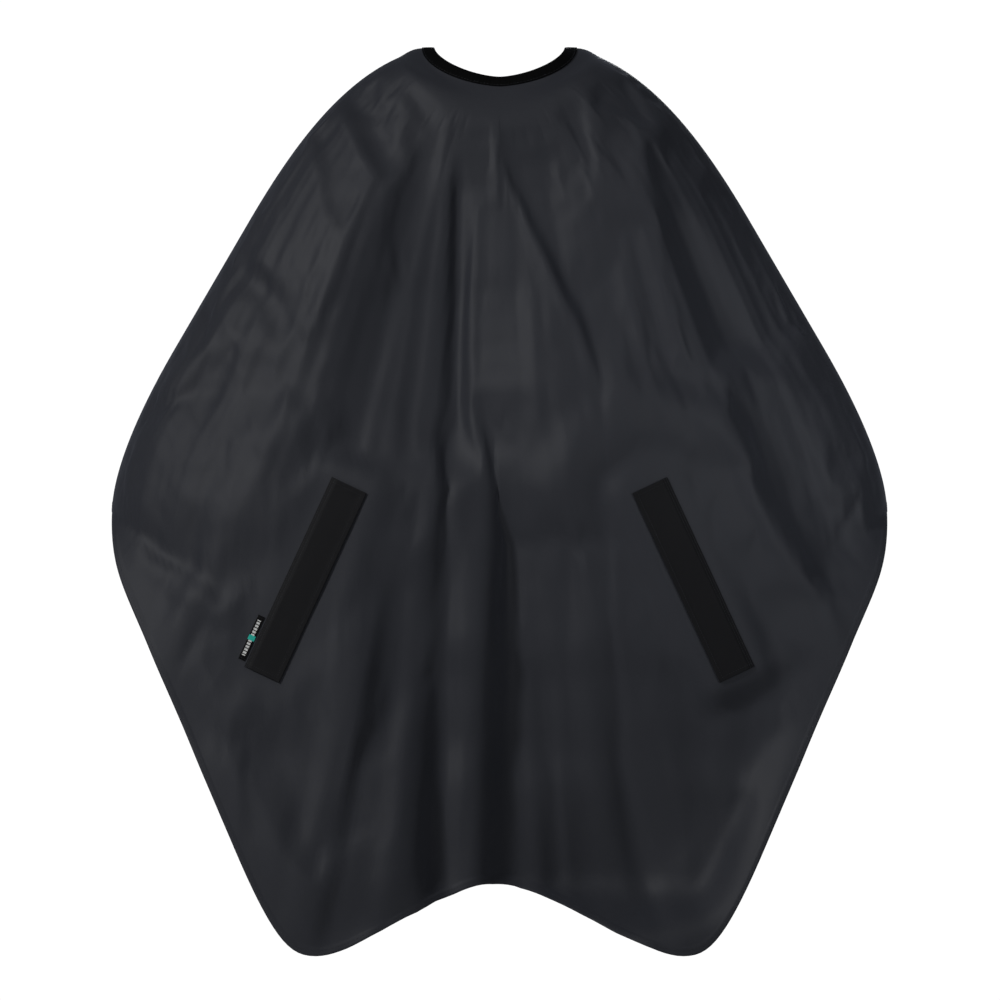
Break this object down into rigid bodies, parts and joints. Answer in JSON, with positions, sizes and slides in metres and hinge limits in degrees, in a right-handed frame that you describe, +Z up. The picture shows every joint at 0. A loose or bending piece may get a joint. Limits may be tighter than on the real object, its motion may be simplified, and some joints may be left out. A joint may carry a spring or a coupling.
{
  "type": "barber cape",
  "caption": "Full-front barber cape with bound neck, snap closure at the nape and two flap-covered hand slits, draped as worn.",
  "frame": {"origin": "centre of the neck opening, level with its highest points at the wearer's sides", "axes": "+Z up along the wearer, -Y the way the wearer faces, +X to the right as seen from the front"},
  "size_m": [0.9722, 0.3357, 1.1343],
  "materials": {
    "cape_cloth": "smooth charcoal polyester with a soft sheen",
    "flap_cloth": "black polyester twill",
    "binding_tape": "matt black binding tape",
    "label_cloth": "woven black label with plain pale stripes",
    "snap_plastic": "satin black moulded plastic"
  },
  "bodies": {
    "cape": {"cape_panel": "cape_cloth", "neckband": "binding_tape", "left_slit_facing": "flap_cloth", "right_slit_facing": "flap_cloth", "snap_stud_1": "snap_plastic", "snap_stud_2": "snap_plastic", "snap_stud_3": "snap_plastic", "snap_stud_4": "snap_plastic", "snap_inner_cap_1": "snap_plastic", "snap_inner_cap_2": "snap_plastic", "snap_inner_cap_3": "snap_plastic", "snap_inner_cap_4": "snap_plastic"},
    "closure": {"closure_tab": "binding_tape", "snap_socket_1": "snap_plastic", "snap_socket_2": "snap_plastic", "snap_outer_cap_1": "snap_plastic", "snap_outer_cap_2": "snap_plastic"},
    "left_flap": {"left_hand_flap": "flap_cloth"},
    "right_flap": {"right_hand_flap": "flap_cloth"},
    "label": {"side_label": "label_cloth"}
  },
  "joints": [
    {"name": "closure_peel", "type": "hinge", "parent": "cape", "child": "closure", "pos_m": [0.01586, 0.06787, -0.0493], "axis": [-0.0849, 0.446, -0.891], "range_deg": [0, 100]},
    {"name": "left_flap_lift", "type": "hinge", "parent": "cape", "child": "left_flap", "pos_m": [-0.26281, -0.16662, -0.65553], "axis": [-0.4192, 0.0341, -0.9072], "range_deg": [0, 90]},
    {"name": "right_flap_lift", "type": "hinge", "parent": "cape", "child": "right_flap", "pos_m": [0.26281, -0.16662, -0.65553], "axis": [-0.4192, -0.0341, 0.9072], "range_deg": [0, 90]},
    {"name": "label_flip", "type": "hinge", "parent": "cape", "child": "label", "pos_m": [-0.26503, -0.16614, -0.65448], "axis": [0.4192, -0.0341, 0.9072], "range_deg": [0, 70]}
  ]
}
